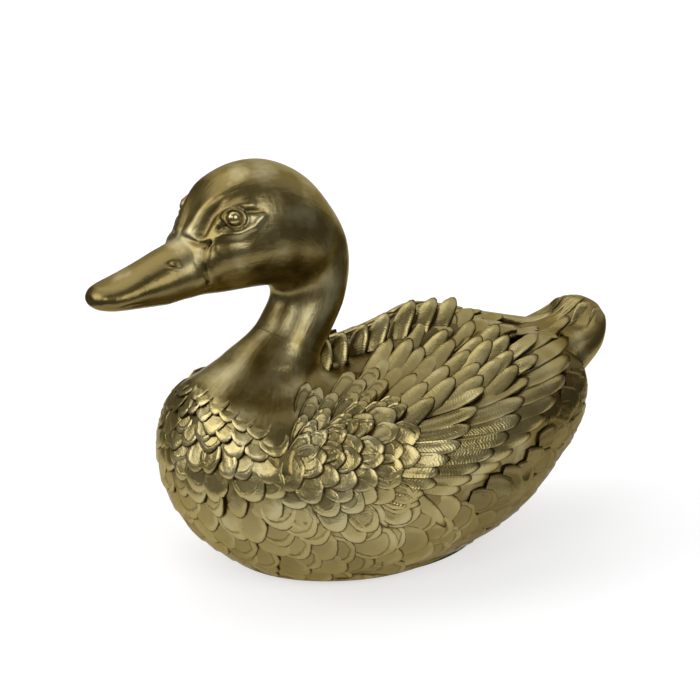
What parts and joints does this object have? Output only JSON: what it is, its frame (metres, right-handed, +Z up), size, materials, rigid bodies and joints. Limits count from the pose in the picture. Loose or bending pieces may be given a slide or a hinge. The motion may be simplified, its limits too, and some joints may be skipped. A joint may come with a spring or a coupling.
{
  "type": "brass duck figurine",
  "caption": "Standing ornament of a resting waterfowl with an arched neck, folded feathered wings and a turned-up tail, cast in antique brass with felt under the foot.",
  "frame": {"origin": "centre of the felt under the foot, on the surface that the ornament stands on", "axes": "+Z up, -Y towards the bill, +X to the bird's left"},
  "size_m": [0.1594, 0.2747, 0.1862],
  "materials": {
    "antique_brass": "satin, darkened in the recesses",
    "plain_brass": "plain rolled sheet",
    "screw_steel": "plain",
    "felt": "pressed felt"
  },
  "bodies": {
    "root": {"body_shell": "antique_brass", "neck_and_head": "antique_brass", "left_wing": "antique_brass", "right_wing": "antique_brass", "tail_fan": "antique_brass", "left_eye": "antique_brass", "right_eye": "antique_brass", "base_plate": "plain_brass", "base_screws": "screw_steel", "felt_sheet": "felt"}
  },
  "joints": []
}
